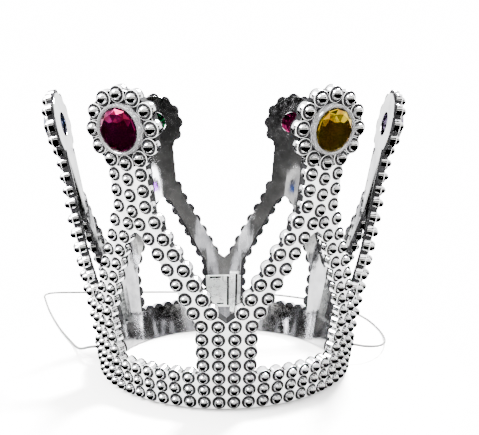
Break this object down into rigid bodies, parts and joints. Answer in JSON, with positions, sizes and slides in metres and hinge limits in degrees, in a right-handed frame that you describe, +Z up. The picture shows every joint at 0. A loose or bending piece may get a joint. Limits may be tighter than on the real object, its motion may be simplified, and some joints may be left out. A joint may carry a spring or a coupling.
{
  "type": "toy crown",
  "caption": "Toy princess crown: a flared ring of bead-textured strip with gem-topped points, an elastic cord and a clasp at the back.",
  "frame": {"origin": "centre of the ring on the surface that it stands on", "axes": "+Z up the crown's axis, -Y towards its front, +Y towards its clasp"},
  "size_m": [0.1732, 0.1835, 0.1118],
  "materials": {
    "silver": "polished",
    "clasp": "satin",
    "elastic": "matte",
    "gem_front_left": "gloss",
    "gem_left": "gloss",
    "gem_back_left": "gloss",
    "gem_front_right": "gloss",
    "gem_right": "gloss",
    "gem_back_right": "gloss"
  },
  "bodies": {
    "front_left": {"strip_front_left": "silver", "strip_left": "silver", "gem_front_left": "gem_front_left", "gem_left": "gem_left", "elastic_cord": "elastic", "cord_knot_left": "elastic"},
    "front_right": {"strip_front_right": "silver", "strip_right": "silver", "gem_front_right": "gem_front_right", "gem_right": "gem_right", "cord_knot_right": "elastic"},
    "back_left": {"strip_back_left": "silver", "gem_back_left": "gem_back_left", "clasp_tongue": "clasp"},
    "back_right": {"strip_back_right": "silver", "gem_back_right": "gem_back_right", "clasp_keeper": "clasp"}
  },
  "joints": [
    {"name": "front_flex", "type": "hinge", "parent": "front_left", "child": "front_right", "pos_m": [0, -0.05135, 0.016], "axis": [0, 0.2074, -0.9783], "range_deg": [0, 10], "stiffness_Nm_per_rad": 0.4, "deforming": ["elastic_cord"]},
    {"name": "left_flex", "type": "hinge", "parent": "front_left", "child": "back_left", "pos_m": [-0.04447, 0.02567, 0.016], "axis": [-0.1796, 0.1037, 0.9783], "range_deg": [0, 10], "stiffness_Nm_per_rad": 0.4},
    {"name": "right_flex", "type": "hinge", "parent": "front_right", "child": "back_right", "pos_m": [0.04447, 0.02567, 0.016], "axis": [-0.1796, -0.1037, -0.9783], "range_deg": [0, 10], "stiffness_Nm_per_rad": 0.4}
  ],
  "couplings": [
    {"joint": "left_flex", "follows": "front_flex", "ratio": 1},
    {"joint": "right_flex", "follows": "front_flex", "ratio": 1}
  ]
}
